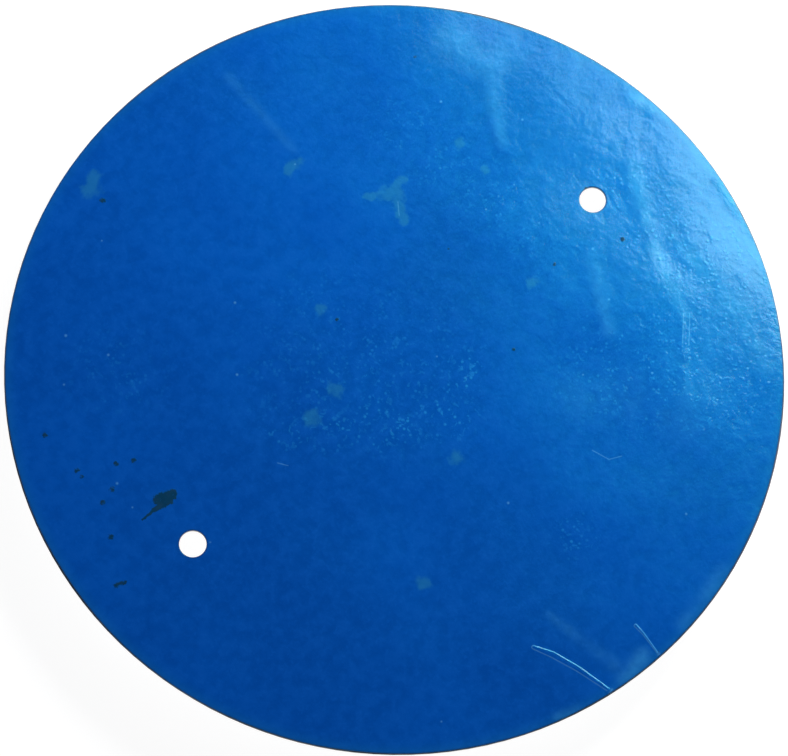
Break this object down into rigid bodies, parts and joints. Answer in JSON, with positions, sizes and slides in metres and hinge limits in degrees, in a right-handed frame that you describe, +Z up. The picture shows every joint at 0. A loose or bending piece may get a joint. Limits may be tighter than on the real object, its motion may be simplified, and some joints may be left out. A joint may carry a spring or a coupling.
{
  "type": "membrane disc air diffuser",
  "caption": "Flat round air stone disc for ponds and aquariums: a blue air-permeable skin on a steel plate with bolt holes, over a low air chamber with a hose connector.",
  "frame": {"origin": "under the middle of the disc, on the surface that its foot stands on", "axes": "+Z up through the disc, X through both bolt holes, hose connector pointing along -Y"},
  "size_m": [0.26, 0.26, 0.0245],
  "materials": {
    "membrane": "semi-gloss blue polyurethane film, slightly see-through",
    "adhesive": "dark bonding layer",
    "stainless_plate": "rolled stainless sheet",
    "fasteners": "stainless",
    "brass": "machined",
    "moulding": "black polypropylene, fine spark texture",
    "barb_plastic": "dark grey glass-filled nylon",
    "rubber": "matt black EPDM",
    "foot_rubber": "matt black rubber",
    "seat_rubber": "red silicone rubber",
    "valve_plastic": "natural acetal",
    "spring_wire": "stainless spring steel"
  },
  "bodies": {
    "diffuser": {"membrane": "membrane", "rim_bond": "adhesive", "hole_seal_left": "adhesive", "hole_seal_right": "adhesive", "base_plate": "stainless_plate", "weld_studs": "fasteners", "chamber_gasket": "rubber", "chamber_body": "moulding", "stud_washers": "fasteners", "stud_nuts": "fasteners", "bottom_cover": "moulding", "cover_o_ring": "rubber", "screw_inserts": "brass", "cover_screws": "fasteners", "foot_pad": "foot_rubber", "valve_carrier": "moulding", "valve_seat": "seat_rubber", "valve_cage": "valve_plastic", "valve_spring": "spring_wire", "barb_clip": "spring_wire"},
    "poppet": {"valve_poppet": "valve_plastic"},
    "barb": {"hose_barb": "barb_plastic", "barb_o_ring": "rubber"}
  },
  "joints": [
    {"name": "valve_lift", "type": "slide", "parent": "diffuser", "child": "poppet", "axis": [0, 0, 1], "range_m": [0, 0.0015], "stiffness_N_per_m": 40, "springref_m": -0.0015, "deforming": ["valve_spring"]},
    {"name": "barb_swivel", "type": "hinge", "parent": "diffuser", "child": "barb", "pos_m": [0, -0.045, 0.0104], "axis": [0, -1, 0], "continuous": true}
  ]
}
